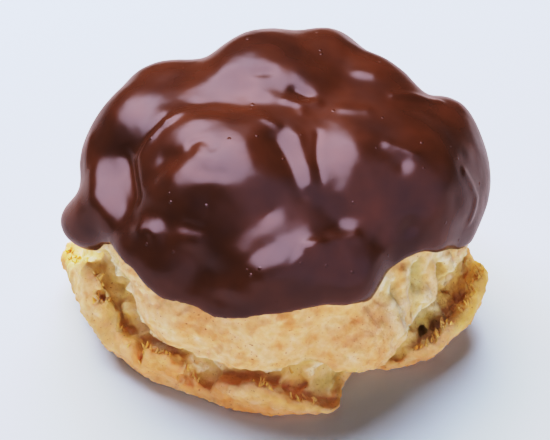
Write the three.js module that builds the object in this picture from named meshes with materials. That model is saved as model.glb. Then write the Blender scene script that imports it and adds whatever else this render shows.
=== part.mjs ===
// A chocolate-iced choux bun in two solids: the baked pastry, and the icing that lies over it.
//
// Frame: millimetres, +Z up. The origin is the centre of the flat foot that the bun stands on.
// -Y is the front, where the pastry has burst open below the icing.
//
// The pastry is a cluster of risen lobes, read along rays from the middle of the dough. Under it
// a burst skin of crust stands off all round, with a crevice between. Each solid is a stack of
// rings, and the rows of every ring follow the icing's edge, the crevice and the crust's rim.

import * as THREE from "three";
import { mergeVertices } from "three/addons/utils/BufferGeometryUtils.js";

// ---- Driving dimensions -----------------------------------------------------------------

const DOUGH_MIDDLE = new THREE.Vector3(0, 0, 27); // where the rays that find the dough start
const DOUGH_BLEND = 0.9; // how far a valley between two lobes of dough is rounded
const ICING_BLEND = 1.1; // the icing fills the valleys, so its own are rounder
const ICING_COAT = 1.5; // thickness of the icing on a lobe
const DENT_FILLING = 1.4; // how much deeper a dent is in the pastry than in the icing over it
const ICING_GAP = 0.3; // clearance between the icing and the pastry under it
const ICING_LIP = 0.55; // share of the coat that is left at the icing's rounded edge
const CRUST_WALL = 2.2; // thickness of the burst crust at its rim
const FOOT_ROUNDING = 1.6; // the foot's edge is rounded by this much
const SHOWN_STEP = 2.1; // length of a facet where the surface shows
const HIDDEN_STEP = 3.4; // length of a facet under the icing and under the foot

// ---- Lobes of dough ------------------------------------------------------------------------
// Each is an ellipsoid with one axis along `facing`: `top` is where that axis comes out of it, and
// `radii` are its two radii across that axis and then the one along it.

const LOBES = [
  // the heart of the dough and the crown
  { name: "core", top: [10.5, -4.5, 49], facing: [0.35, -0.11, 0.93], radii: [32.5, 29, 18] },
  { name: "heart", top: [0, 1, 45], facing: [0, 0, 1], radii: [35, 33, 21] },
  { name: "crown", top: [-11, 6, 51.5], facing: [-0.76, -0.28, 0.59], radii: [12.5, 18.5, 24] },
  { name: "crown, back", top: [8.5, 15.5, 52], facing: [-0.36, -0.2, 0.91], radii: [7.5, 12.5, 13] },
  {
    name: "crown, right slope", top: [15, 4.5, 49],
    facing: [-0.17, -0.14, 0.98], radii: [13.5, 15.5, 7.5],
  },
  { name: "crown, small bump", top: [18, 10, 49], facing: [-0.22, -0.45, 0.87], radii: [5, 7, 5.5] },
  { name: "crown fold", top: [7, 3.5, 52], facing: [0.2, -0.35, 0.91], radii: [6.5, 5.5, 4.5] },
  { name: "back top", top: [-3, 25, 44], facing: [0, 0.6, 0.8], radii: [17, 10, 12] },
  // left side
  { name: "left top", top: [-29, 10.5, 45.5], facing: [-0.94, 0.01, 0.35], radii: [8.5, 9.5, 12] },
  { name: "left shoulder", top: [-31, 1, 47], facing: [-0.63, -0.25, 0.73], radii: [9, 8.5, 7.5] },
  { name: "left flank", top: [-36, -4, 31.5], facing: [-0.78, -0.25, -0.57], radii: [5.5, 10, 8.5] },
  { name: "middle left", top: [-14.5, -15, 49], facing: [-0.41, -0.03, 0.91], radii: [14.5, 10.5, 8.5] },
  { name: "lower left", top: [-35.5, -11, 34], facing: [-0.57, -0.35, 0.74], radii: [10, 5.5, 7.5] },
  {
    name: "left front slope", top: [-30.5, -16.5, 32],
    facing: [-0.64, -0.64, 0.43], radii: [7.5, 12, 8.5],
  },
  // right side
  { name: "middle right", top: [15.5, -9.5, 48.5], facing: [0.06, -0.19, 0.98], radii: [11, 17, 8] },
  { name: "right top", top: [25, -1, 46.5], facing: [0.54, 0.04, 0.84], radii: [9, 10, 8.5] },
  { name: "right", top: [34.5, -5, 42.5], facing: [0.75, 0.03, 0.66], radii: [14, 15, 14.5] },
  { name: "right, outer", top: [40.5, 0, 37], facing: [0.85, -0.2, 0.49], radii: [11.5, 13, 7] },
  { name: "right rear knob", top: [35, 7.5, 42.5], facing: [0.16, -0.2, 0.97], radii: [6, 8, 8.5] },
  { name: "right flank", top: [40, -4, 23], facing: [1, 0, 0.1], radii: [12, 11, 11] },
  // front
  { name: "front left bump", top: [-23, -26, 35], facing: [-0.38, -0.65, 0.66], radii: [10, 7, 5.5] },
  { name: "front knob", top: [3, -29.5, 38.5], facing: [-0.01, -0.29, 0.96], radii: [13, 7.5, 7] },
  { name: "front right knob", top: [16, -26.5, 37], facing: [0.32, -0.11, 0.94], radii: [6, 8.5, 9] },
  { name: "front face", top: [-5, -35, 29.5], facing: [-0.29, -0.77, 0.57], radii: [15.5, 10, 12.5] },
  { name: "front brow, left", top: [-21, -31, 21.5], facing: [-0.5, -0.85, 0.1], radii: [12.5, 12.5, 12] },
  { name: "front brow, middle", top: [-3, -37, 18.5], facing: [-0.05, -1, 0.1], radii: [14, 12, 12.5] },
  { name: "front brow, right", top: [17, -34.5, 16], facing: [0.25, -0.96, 0.1], radii: [12.5, 12, 12] },
  { name: "right brow", top: [27, -18, 32], facing: [0.55, -0.69, 0.47], radii: [12, 12, 10] },
  { name: "front right corner", top: [29.5, -20.5, 18], facing: [0.65, -0.75, 0.1], radii: [9, 10, 9.5] },
  // back
  { name: "back left", top: [-17, 35, 33], facing: [-0.35, 0.9, 0.35], radii: [13.5, 13.5, 13.5] },
  { name: "back right", top: [14, 36, 33], facing: [0.3, 0.9, 0.35], radii: [14, 14, 14] },
  { name: "back left corner", top: [-37, 18, 30], facing: [-0.85, 0.4, 0.3], radii: [12, 12, 12] },
  { name: "back right corner", top: [36, 21, 31], facing: [0.8, 0.5, 0.3], radii: [12.5, 12.5, 12.5] },
  { name: "back foot, left", top: [-17, 35, 18], facing: [-0.42, 0.9, 0], radii: [15, 12, 12] },
  { name: "back foot, right", top: [17, 34.5, 18], facing: [0.42, 0.9, 0], radii: [15, 12, 12] },
];

// Hollows that press into the dough, written in the same way: here `top` is the deepest point.
const DENTS = [
  {
    name: "valley between the middle lobes", top: [0, -17.5, 49],
    facing: [0.33, -0.1, 0.94], radii: [6, 7, 3],
  },
  {
    name: "valley before the crown", top: [-6, -1, 52],
    facing: [-0.11, -0.28, 0.96], radii: [14.5, 6.5, 2.5],
  },
  {
    name: "hollow by the front knob", top: [16.5, -19.5, 43],
    facing: [0.24, -0.63, 0.74], radii: [8, 9.5, 2.5],
  },
  {
    name: "valley by the left shoulder", top: [-23, -10, 48],
    facing: [-0.51, -0.62, 0.59], radii: [8.5, 8, 2.5],
  },
  {
    name: "hollow below the middle left", top: [-14.5, -24.5, 44],
    facing: [-0.06, -0.81, 0.58], radii: [8.5, 6.5, 3.5],
  },
];

// Thick places in the icing itself.
const ICING_LOBES = [
  { name: "drip at the left", top: [-42, -6.5, 25.5], facing: [-1, 0, 0.1], radii: [3.6, 3.8, 3.4] },
];

for (const lobe of [...LOBES, ...DENTS, ...ICING_LOBES]) {
  const facing = new THREE.Vector3(...lobe.facing).normalize();
  const upright = new THREE.Vector3(0, 0, 1);
  const outwards = DENTS.includes(lobe) ? 1 : -1;
  lobe.size = new THREE.Vector3(...lobe.radii);
  lobe.centre = new THREE.Vector3(...lobe.top).addScaledVector(facing, outwards * lobe.size.z);
  lobe.toLobe = new THREE.Quaternion().setFromUnitVectors(facing, upright);
}

// The two layers. The icing fills the dents, so they go deeper in the pastry.
const PASTRY = { lobes: LOBES, blend: DOUGH_BLEND, dentDepth: DENT_FILLING };
const ICING = { lobes: [...LOBES, ...ICING_LOBES], blend: ICING_BLEND, dentDepth: 0 };

// ---- Edges round the bun: [azimuth in degrees from +X towards +Y, value] ---------------------

// Height of the icing's lower edge on the dough.
const icingEdgeHeight = around([
  [-178, 23], [-168, 24], [-161, 22.5], [-155, 27], [-149, 29.5], [-142, 31.3], [-135, 30.5],
  [-130, 27], [-125, 25.8], [-115, 25.8], [-108, 25], [-101, 26], [-92, 27], [-84, 28.3],
  [-74, 28.2], [-65, 27.5], [-59, 25.6], [-55, 27.5], [-50, 29.6], [-44, 30.4], [-36, 29.2],
  [-25, 25.8], [-18, 23.2], [-10, 21.5], [5, 22.5], [20, 25], [40, 27], [70, 22], [100, 27],
  [130, 22], [155, 26],
]);
// Bottom of the crevice between the dough and the burst crust.
const creviceRadius = around([
  [-178, 39], [-170, 38], [-163, 36.5], [-155, 35.5], [-147, 33.5], [-140, 31], [-115, 29.5],
  [-95, 30.5], [-80, 32], [-62, 31], [-50, 30], [-42, 32.5], [-35, 35], [-28, 36.5], [-20, 38],
  [-10, 39.5], [0, 38], [10, 37], [60, 37.5], [100, 36.5], [140, 38],
]);
const creviceHeight = around([
  [-178, 13], [-170, 13], [-163, 17], [-158, 14.5], [-153, 10], [-147, 7.5], [-140, 8], [-115, 9],
  [-95, 11], [-80, 10.5], [-60, 8], [-50, 7], [-42, 6], [-35, 6], [-28, 7.5], [-20, 9.5], [-10, 12],
  [0, 15], [20, 16], [60, 16], [100, 14], [140, 16], [165, 14],
]);
// The burst crust's torn rim. It is low where the crust gaps and nearly gone at the front right.
const rimRadius = around([
  [-178, 43], [-172, 42], [-166, 40], [-160, 39.5], [-150, 38.5], [-144, 38], [-138, 38.4],
  [-126, 36.8], [-114, 34], [-100, 36.8], [-88, 38.6], [-71, 38.5], [-63, 31], [-52, 29], [-43, 35],
  [-30, 41], [-15, 44.2], [-8, 44.4], [-3, 42.5], [1, 41.3], [10, 41], [20, 41.5], [60, 41],
  [100, 40], [140, 42], [165, 43], [171, 44], [176, 44.8],
]);
const rimHeight = around([
  [-178, 12], [-172, 13.5], [-166, 18.5], [-161, 20], [-157, 17], [-153, 13.5], [-148, 10],
  [-144, 8.5], [-138, 9.3], [-135, 4.8], [-132, 10.5], [-126, 10.5], [-120, 7], [-113, 2.5],
  [-107, 7], [-101, 8.5], [-90, 8.5], [-82, 6], [-74, 3], [-66, 2.5], [-50, 3], [-43, 4],
  [-36, 6.5], [-28, 9.5],
  [-15, 12.5], [-8, 14.2], [-3, 12.5], [1, 11.5], [8, 12], [35, 12], [60, 14], [85, 11],
  [110, 13], [140, 14], [160, 11], [170, 9.5], [176, 10],
]);
// How far the burst crust swells out below its rim.
const cheekSwell = around([
  [-178, 0.3], [-170, 1.5], [-160, 3], [-151, 2.6], [-144, 1.2], [-137, 0], [-60, 0], [-30, 0.4],
  [20, 0.6], [90, 1], [160, 0.5],
]);
// The flat foot.
const footRadius = around([
  [-178, 37], [-165, 36.5], [-155, 36], [-147, 35], [-116, 33.3], [-88, 34.8], [-71, 35.8],
  [-63, 29], [-52, 26.5], [-43, 32], [-30, 36], [-16, 38.5], [0, 38.5], [30, 37], [90, 35.5], [140, 37],
]);

// ---- Numbers round the bun -----------------------------------------------------------------

// Eases from each station to the next, all the way round.
function around(stations) {
  const sorted = [...stations].sort((a, b) => a[0] - b[0]);
  const first = sorted[0];
  const closed = [...sorted, [first[0] + 360, first[1]]];
  return (azimuth) => {
    const turned = first[0] + THREE.MathUtils.euclideanModulo(azimuth - first[0], 360);
    const next = closed.findIndex((station) => station[0] > turned);
    const [from, low] = closed[next - 1];
    const [to, high] = closed[next];
    return THREE.MathUtils.lerp(low, high, THREE.MathUtils.smoothstep(turned, from, to));
  };
}

// A small ragged wave for torn edges, the same on every run.
function ragged(azimuth) {
  const turn = THREE.MathUtils.degToRad(azimuth);
  return 0.45 * Math.sin(23 * turn + 1.3) + 0.35 * Math.sin(37 * turn + 0.4) + 0.3 * Math.sin(53 * turn);
}

// ---- The dough ---------------------------------------------------------------------------

// About how far a point is outside one lobe; inside it the number is negative.
function lobeDistance(point, lobe) {
  const scaled = point.clone().sub(lobe.centre).applyQuaternion(lobe.toLobe).divide(lobe.size);
  const share = scaled.length();
  return (share * (share - 1)) / Math.max(scaled.divide(lobe.size).length(), 1e-6);
}

// Distance to a layer's lobes joined together, less its dents, with the valleys between rounded.
function layerDistance(point, layer) {
  let nearness = 0;
  for (const lobe of layer.lobes) {
    nearness += Math.exp(-lobeDistance(point, lobe) / layer.blend);
  }
  let distance = -layer.blend * Math.log(nearness);
  for (const dent of DENTS) {
    const into = Math.min(-lobeDistance(point, dent), Math.min(...dent.radii));
    distance = smoothMax(distance, into + layer.dentDepth, layer.blend);
  }
  return distance;
}

function smoothMax(a, b, blend) {
  const larger = Math.max(a, b);
  return larger + blend * Math.log(Math.exp((a - larger) / blend) + Math.exp((b - larger) / blend));
}

// How far along a ray from the middle of the dough the surface lies, coming in from outside. The
// surface is taken this far off the layer itself.
function reach(direction, layer, off) {
  const FAR = 70;
  const CLOSE_ENOUGH = 0.01;
  const SURE_STEP = 0.8;
  const point = new THREE.Vector3();
  let along = FAR;
  for (let step = 0; step < 120; step++) {
    point.copy(DOUGH_MIDDLE).addScaledVector(direction, along);
    const outside = layerDistance(point, layer) - off;
    if (outside < CLOSE_ENOUGH) break;
    along -= outside * SURE_STEP;
  }
  return along;
}

// Direction of a ray: polar is its angle from straight up, azimuth its angle from +X.
function rayDirection(azimuth, polar) {
  const turn = THREE.MathUtils.degToRad(azimuth);
  return new THREE.Vector3(
    Math.sin(polar) * Math.cos(turn),
    Math.sin(polar) * Math.sin(turn),
    Math.cos(polar),
  );
}

function pastryReach(azimuth, polar, clearance = 0) {
  return reach(rayDirection(azimuth, polar), PASTRY, clearance);
}

function icingReach(azimuth, polar) {
  return reach(rayDirection(azimuth, polar), ICING, ICING_COAT);
}

function onRay(azimuth, polar, along) {
  return rayDirection(azimuth, polar).multiplyScalar(along).add(DOUGH_MIDDLE);
}

// The polar angle at which the dough's surface is at a given height.
function polarAtHeight(azimuth, height) {
  let low = 0.2;
  let high = Math.PI * 0.75;
  for (let step = 0; step < 24; step++) {
    const polar = (low + high) / 2;
    const z = DOUGH_MIDDLE.z + pastryReach(azimuth, polar) * Math.cos(polar);
    if (z > height) low = polar;
    else high = polar;
  }
  return (low + high) / 2;
}

// ---- Rings ---------------------------------------------------------------------------------

// How many points a ring of about this radius has, for facets of about this length.
function ringCount(radius, step) {
  const SECTORS = 12; // every count is a multiple of this, so that rings stitch evenly
  return Math.max(1, Math.round((2 * Math.PI * radius) / step / SECTORS)) * SECTORS;
}

function ring(count, place) {
  return Array.from({ length: count }, (_, i) => place((360 * i) / count - 180));
}

// Stitches stacks of rings, each from the top down, into one closed skin. Neighbouring rings may
// differ in count. A stack that faces inwards has its triangles turned round.
function skin(stacks) {
  const positions = [];
  const triangles = [];
  for (const { rings, inwards } of stacks) {
    const starts = rings.map((points) => {
      const start = positions.length / 3;
      for (const point of points) positions.push(point.x, point.y, point.z);
      return start;
    });
    for (let r = 0; r + 1 < rings.length; r++) {
      const upper = { start: starts[r], count: rings[r].length };
      const lower = { start: starts[r + 1], count: rings[r + 1].length };
      for (const [a, b, c] of band(upper, lower)) triangles.push(...(inwards ? [a, c, b] : [a, b, c]));
    }
  }
  const geometry = new THREE.BufferGeometry();
  geometry.setAttribute("position", new THREE.Float32BufferAttribute(positions, 3));
  geometry.setIndex(triangles);
  const closed = mergeVertices(geometry, 1e-4);
  closed.computeVertexNormals();
  return closed;
}

// The triangles between two neighbouring rings.
function band(upper, lower) {
  const up = (i) => upper.start + (i % upper.count);
  const down = (j) => lower.start + (j % lower.count);
  const upperSteps = upper.count > 1 ? upper.count : 0;
  const lowerSteps = lower.count > 1 ? lower.count : 0;
  const triangles = [];
  let i = 0;
  let j = 0;
  while (i < upperSteps || j < lowerSteps) {
    const upperIsNext = (i + 0.5) / upperSteps < (j + 0.5) / lowerSteps;
    if (j === lowerSteps || (i < upperSteps && upperIsNext)) {
      triangles.push([up(i), down(j), up(i + 1)]);
      i++;
    } else {
      triangles.push([up(i), down(j), down(j + 1)]);
      j++;
    }
  }
  return triangles;
}

// ---- Pastry --------------------------------------------------------------------------------

// Rings over the hidden dough under the icing. The icing's inside repeats them, a gap further out.
function hiddenDoughRings(clearance) {
  const ROWS = 16;
  const rings = [];
  for (let row = 0; row < ROWS; row++) {
    const share = row / ROWS;
    const radius = 40 * Math.sin(share * 1.5);
    const count = row === 0 ? 1 : ringCount(radius, HIDDEN_STEP);
    rings.push(ring(count, (azimuth) => {
      const polar = share * icingEdgePolar(azimuth);
      return onRay(azimuth, polar, pastryReach(azimuth, polar, clearance));
    }));
  }
  return rings;
}

function icingEdgePolar(azimuth) {
  const WAVER = 0.5; // the edge wanders by this much
  return polarAtHeight(azimuth, icingEdgeHeight(azimuth) + WAVER * ragged(azimuth * 0.5));
}

// Key points of one section through the burst crust, from the crevice to the foot: radius, height.
function crustSection(azimuth) {
  const rim = { r: rimRadius(azimuth), z: rimHeight(azimuth) + 0.8 * ragged(azimuth) };
  const foot = { r: footRadius(azimuth), z: 0 };
  const crevice = { r: creviceRadius(azimuth), z: creviceHeight(azimuth) };
  const wall = Math.min(CRUST_WALL, rim.z * 0.5);
  const swell = cheekSwell(azimuth);
  return [
    crevice,
    { r: (crevice.r + rim.r - wall) / 2, z: Math.min(crevice.z, rim.z) - 1.2 },
    { r: rim.r - wall, z: rim.z - 0.5 },
    { r: rim.r - 0.3 * wall, z: rim.z },
    { r: rim.r + 0.2 + 0.3 * swell, z: rim.z - 0.9 },
    { r: rim.r - 0.1 * (rim.r - foot.r) + swell, z: rim.z * 0.62 },
    { r: rim.r - 0.45 * (rim.r - foot.r) + 0.8 * swell, z: rim.z * 0.33 },
    { r: foot.r + FOOT_ROUNDING * 0.7, z: FOOT_ROUNDING * 0.3 },
    foot,
  ];
}

function atAzimuth(azimuth, r, z) {
  const turn = THREE.MathUtils.degToRad(azimuth);
  return new THREE.Vector3(r * Math.cos(turn), r * Math.sin(turn), z);
}

function pastryGeometry() {
  const OPEN_ROWS = 7; // rows of bare dough between the icing's edge and the crevice
  const AROUND = ringCount(40, SHOWN_STEP);
  const rings = hiddenDoughRings(0);
  for (let row = 0; row <= OPEN_ROWS; row++) {
    rings.push(ring(AROUND, (azimuth) => {
      const crevice = crustSection(azimuth)[0];
      const last = Math.atan2(crevice.r, crevice.z - DOUGH_MIDDLE.z) - 0.1;
      const polar = THREE.MathUtils.lerp(icingEdgePolar(azimuth), last, row / OPEN_ROWS);
      return onRay(azimuth, polar, pastryReach(azimuth, polar));
    }));
  }
  const sectionLength = crustSection(0).length;
  for (let key = 0; key < sectionLength; key++) {
    rings.push(ring(AROUND, (azimuth) => {
      const { r, z } = crustSection(azimuth)[key];
      return atAzimuth(azimuth, r, z);
    }));
  }
  for (const share of [0.8, 0.5, 0.22]) {
    const count = ringCount(35 * share, HIDDEN_STEP * 1.5);
    rings.push(ring(count, (azimuth) => atAzimuth(azimuth, footRadius(azimuth) * share, 0)));
  }
  rings.push([new THREE.Vector3(0, 0, 0)]);
  return skin([{ rings, inwards: false }]);
}

// ---- Icing ---------------------------------------------------------------------------------

function icingGeometry() {
  const ROWS = 25;
  const outside = [];
  for (let row = 0; row <= ROWS; row++) {
    const share = row / ROWS;
    const count = row === 0 ? 1 : ringCount(43 * Math.sin(share * 1.5), SHOWN_STEP);
    outside.push(ring(count, (azimuth) => {
      const polar = share * icingEdgePolar(azimuth);
      const inner = pastryReach(azimuth, polar, ICING_GAP);
      const coat = Math.max(icingReach(azimuth, polar) - inner, 0.6);
      const towardsEdge = THREE.MathUtils.smoothstep(share, 0.93, 1);
      return onRay(azimuth, polar, inner + coat * (1 - (1 - ICING_LIP) * towardsEdge ** 2));
    }));
  }
  const edge = ring(ringCount(40, SHOWN_STEP), (azimuth) => {
    const polar = icingEdgePolar(azimuth);
    return onRay(azimuth, polar, pastryReach(azimuth, polar, ICING_GAP));
  });
  return skin([
    { rings: [...outside, edge], inwards: false },
    { rings: [...hiddenDoughRings(ICING_GAP), edge], inwards: true },
  ]);
}

// ---- The bun -------------------------------------------------------------------------------

const bun = new THREE.Group();

const pastry = new THREE.Mesh(
  pastryGeometry(),
  new THREE.MeshStandardMaterial({ color: 0xd9b07a, roughness: 0.75, metalness: 0 }),
);
pastry.name = "choux_pastry";
bun.add(pastry);

const icing = new THREE.Mesh(
  icingGeometry(),
  new THREE.MeshStandardMaterial({ color: 0x46211a, roughness: 0.2, metalness: 0 }),
);
icing.name = "chocolate_icing";
bun.add(icing);

export default bun;
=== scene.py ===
"""A chocolate-iced choux bun: craggy baked pastry, torn open round its foot, under poured glossy icing."""
import math
import random

import bpy
import numpy as np
from mathutils import Matrix, Vector
from mathutils.bvhtree import BVHTree


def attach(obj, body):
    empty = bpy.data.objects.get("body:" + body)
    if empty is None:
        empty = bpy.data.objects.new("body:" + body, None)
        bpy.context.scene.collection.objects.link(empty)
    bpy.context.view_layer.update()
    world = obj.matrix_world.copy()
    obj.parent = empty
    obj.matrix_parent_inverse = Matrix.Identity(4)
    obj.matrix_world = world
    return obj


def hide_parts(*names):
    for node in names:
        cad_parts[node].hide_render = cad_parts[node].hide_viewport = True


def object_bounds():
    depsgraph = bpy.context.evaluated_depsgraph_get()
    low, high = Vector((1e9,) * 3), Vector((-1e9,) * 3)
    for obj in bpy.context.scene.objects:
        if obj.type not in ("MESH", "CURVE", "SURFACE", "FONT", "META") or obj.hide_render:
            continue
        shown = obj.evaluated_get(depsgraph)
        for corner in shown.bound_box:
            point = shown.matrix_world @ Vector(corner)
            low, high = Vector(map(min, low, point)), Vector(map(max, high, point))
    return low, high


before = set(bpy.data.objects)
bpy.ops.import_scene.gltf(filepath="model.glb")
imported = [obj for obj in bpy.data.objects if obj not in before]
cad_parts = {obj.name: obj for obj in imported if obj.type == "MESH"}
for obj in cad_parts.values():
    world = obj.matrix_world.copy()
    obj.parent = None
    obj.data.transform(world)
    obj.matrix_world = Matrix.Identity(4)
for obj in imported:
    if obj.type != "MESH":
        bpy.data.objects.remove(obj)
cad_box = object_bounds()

MM = 0.001

# ---------------------------------------------------------------- sizes, in millimetres

CRUST_GRAIN = 0.55          # edge of one face of the crust's fine skin
CRUST_MIDDLE = (0, 0, 20)   # a face that looks towards this place is inside a tear
HULL_NEAR = 1.2             # crust this close to the outer hull is baked skin
HULL_DEEP = 4.5             # and this deep inside it is torn crumb
FOOT_TOP = 0.6              # the flat foot ends at this height
FOOT_SOLE = 0.2             # and is quite smooth below this one
SKIN_LOW = 1                # wrinkles and blisters start above this height
SKIN_HIGH = 32              # and end here, where the icing hides the skin everywhere
RAISED_SPAN = 1.4           # height of the crumb from its pits to its ridges

STROKE_FADE = 2.6           # a stroke has faded out this many half widths away
SHORTEST_SPAN = 1e-9        # keeps a stroke with one station from dividing by zero
WANDER_TURN = 0.6           # how far a wandering stroke turns at each station
STATION_STEP = 1.2          # and how far apart its stations usually are
SCATTER_WIDTHS = (0.7, 1.4)     # scattered strokes vary between these shares of their width
SCATTER_HEIGHTS = (0.5, 1.2)    # and these shares of their height
GROUP_STEPS = 20            # levels of weight in a vertex group
DOUBLE_GAP = 0.001          # corners of loose triangles this near each other are one corner
QUAD_LIMIT = math.radians(60)   # triangles that meet flatter than this become one quad

CRUST_CHANCE = random.Random(5)     # seeded, so that each run scatters alike

LOOKS_OUTWARDS = 0.1        # a face that looks this far away from the bun's middle is baked skin
LOOKS_INWARDS = -0.4        # and one that looks this far towards it is torn crumb
MOSTLY_TORN = 0.5           # crumb gets fibres and pits past this share of torn
HARDLY_TORN = 0.2           # and skin gets wrinkles and blisters below this one

# Small strokes scattered over the torn crumb and the baked skin: how many, their half width, their height
# and the most stations that one has.
FIBRES = (170, 0.5, 0.75, 4)
PITS = (90, 0.9, -0.9, 1)
WRINKLES = (260, 0.55, -0.22, 4)
BLISTERS = (160, 0.8, 0.28, 1)

# Relief of the crust: its name, kind, size, height, the side it shows on, and the kind's own settings.
CRUST_RELIEF = [
    ("crumb lumps", "CLOUDS", 3.2, 1.2, "crumb side", {"noise_depth": 3}),
    ("crumb cells", "VORONOI", 1.3, 0.4, "crumb side", {}),
    ("skin swell", "CLOUDS", 4.5, 0.8, "skin side", {"noise_depth": 2}),
    ("skin grain", "CLOUDS", 1.3, 0.6, "skin side", {"noise_depth": 3}),
    ("skin wrinkles", "MUSGRAVE", 1.7, 0.25, "skin side", {}),
]

BUBBLE_WALL_SIZE = 1.6      # lumps in the wall of a burst bubble
BUBBLE_WALL_HEIGHT = 0.9

# Bubbles that burst as the bun tore: centre and radii.
BURST_BUBBLES = [
    ((30.0, -19.6, 10.6), (3.2, 2.4, 3.4)),
    ((30.2, -15.6, 6.6), (1.3, 4.0, 1.3)),
    ((36.8, -10.6, 13.6), (2.4, 2.0, 2.4)),
    ((39.4, -10.6, 9.8), (2.0, 2.2, 1.8)),
    ((34.2, -16.6, 7.2), (2.2, 1.6, 1.5)),
    ((-30.6, -17.2, 15.4), (2.4, 2.2, 3.0)),
    ((-34.6, -16.2, 14.6), (1.4, 1.4, 2.0)),
    ((-23.2, -22.4, 7.0), (2.6, 1.8, 1.6)),
    ((-17.2, -29.8, 4.6), (2.2, 2.2, 1.8)),
    ((5.0, -33.6, 6.2), (3.6, 1.6, 1.6)),
    ((-14.0, 40.0, 11.0), (2.6, 2.0, 1.6)),
    ((9.0, 38.5, 13.5), (3.0, 2.0, 1.8)),
    ((38.0, 12.0, 14.0), (1.8, 2.8, 1.8)),
    ((-40.0, 12.0, 12.0), (1.8, 2.6, 2.0)),
]

# Folds, strips and hollows of the pastry: the line they follow, their half width and their height.
CRUST_FOLDS = [
    # webbing at the right: strips of dough with thin bubble walls sunk between them
    ([(21.8, -27.6, 29.6), (22.6, -27.2, 23.0), (24.0, -28.6, 17.4), (25.4, -27.0, 13.0)], 1.1, 0.9),
    ([(24.8, -24.0, 27.4), (25.6, -24.0, 20.4), (26.6, -24.0, 14.2)], 1.0, 0.9),
    ([(31.2, -18.0, 23.6), (31.6, -17.6, 18.0), (31.4, -17.4, 13.4)], 1.0, 0.9),
    ([(34.6, -14.0, 23.2), (34.8, -13.4, 17.0), (34.6, -13.2, 12.4)], 0.9, 0.8),
    ([(27.9, -21.1, 26.2), (28.2, -21.0, 21.0)], 1.3, -1.1),
    ([(23.2, -26.0, 24.4), (23.4, -26.0, 22.4)], 0.9, -0.7),
    ([(33.0, -15.8, 21.6), (33.2, -15.4, 18.4)], 1.0, -0.7),
    ([(29.4, -20.2, 18.4), (30.4, -19.4, 16.6)], 1.7, 1.0),
    ([(36.0, -12.8, 11.6), (38.6, -12.4, 11.6), (40.6, -9.4, 11.8)], 0.6, 0.7),
    ([(36.8, -14.2, 9.4), (39.6, -13.6, 9.2)], 0.6, 0.6),
    # torn band and thin skin at the left
    ([(-37.0, -4.0, 14.6), (-36.4, -10.0, 17.0), (-35.2, -14.6, 17.4), (-33.6, -17.2, 13.6)], 0.7, 0.7),
    ([(-32.0, -14.0, 14.0), (-31.2, -15.4, 11.0)], 1.4, -1.0),
    ([(-30.0, -16.4, 12.6), (-29.0, -17.0, 9.4), (-27.6, -18.4, 7.6)], 1.3, 0.9),
    ([(-27.9, -16.0, 13.4), (-26.5, -18.3, 9.2), (-23.6, -22.0, 7.0)], 0.6, -0.8),
    # front
    ([(-10.5, -38.0, 7.5), (-11.5, -37.0, 4.0)], 0.8, -0.5),
    ([(12.6, -34.0, 10.6), (15.5, -34.6, 10.0), (18.6, -33.6, 10.8)], 0.5, -0.45),
    ([(12.0, -34.6, 11.6), (15.5, -35.4, 11.2), (18.6, -34.2, 12.0)], 0.5, 0.35),
]

# ---------------------------------------------------------------- small helpers


def linear(hex_colour):
    """An sRGB hex colour as the linear values that the shaders take, by the standard's own curve."""
    channels = (int(hex_colour[i:i + 2], 16) / 255 for i in (1, 3, 5))
    return tuple(c / 12.92 if c <= 0.04045 else ((c + 0.055) / 1.055) ** 2.4 for c in channels) + (1.0,)


def only(piece):
    """Selects this piece and nothing else."""
    bpy.ops.object.select_all(action="DESELECT")
    piece.select_set(True)
    bpy.context.view_layer.objects.active = piece


def apply_modifier(piece, kind, **settings):
    """Adds a modifier, sets it and applies it."""
    modifier = piece.modifiers.new(kind.lower(), kind)
    for name, value in settings.items():
        setattr(modifier, name, value)
    only(piece)
    bpy.ops.object.modifier_apply(modifier=modifier.name)


def positions(piece):
    """The piece's vertices in millimetres, one row each."""
    flat = np.empty(len(piece.data.vertices) * 3)
    piece.data.vertices.foreach_get("co", flat)
    return flat.reshape(-1, 3) / MM


def place(piece, points):
    """Moves the piece's vertices to these points in millimetres."""
    piece.data.vertices.foreach_set("co", (points * MM).ravel())
    piece.data.update()


def keep_inside(piece):
    """Holds the piece above the floor and within the CAD model's box."""
    low, high = np.array(cad_box) / MM
    place(piece, np.clip(positions(piece), low, high))


def normals(piece):
    """The outward direction at each vertex."""
    flat = np.empty(len(piece.data.vertices) * 3)
    piece.data.vertex_normals.foreach_get("vector", flat)
    return flat.reshape(-1, 3)


def nearness(points, line, width):
    """How near each point is to a line of stations: 1 on it, a third at its half width, then 0."""
    line = np.array(line, dtype=float).reshape(-1, 3)
    nearest = np.full(len(points), np.inf)
    for start, end in zip(line, np.vstack([line[1:], line[-1:]])):
        span = end - start
        share = np.clip((points - start) @ span / max(span @ span, SHORTEST_SPAN), 0, 1)
        nearest = np.minimum(nearest, np.linalg.norm(points - start - share[:, None] * span, axis=1))
    return np.exp(-((nearest / width) ** 2))


def sculpt(piece, strokes):
    """Raises or sinks the skin along each stroke: its line, its half width and its height."""
    points = positions(piece)
    lift = np.zeros(len(points))
    for line, width, height in strokes:
        stations = np.array(line, dtype=float).reshape(-1, 3)
        margin = STROKE_FADE * width
        inside = (points > stations.min(axis=0) - margin) & (points < stations.max(axis=0) + margin)
        close = np.flatnonzero(inside.all(axis=1))
        lift[close] += height * nearness(points[close], line, width)
    place(piece, points + normals(piece) * lift[:, None])


def skin_tree(piece):
    """The piece's faces, sorted for finding the nearest one."""
    return BVHTree.FromObject(piece, bpy.context.evaluated_depsgraph_get())


def any_direction(chance):
    """A direction picked at random."""
    return Vector((chance.gauss(0, 1), chance.gauss(0, 1), chance.gauss(0, 1)))


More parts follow.
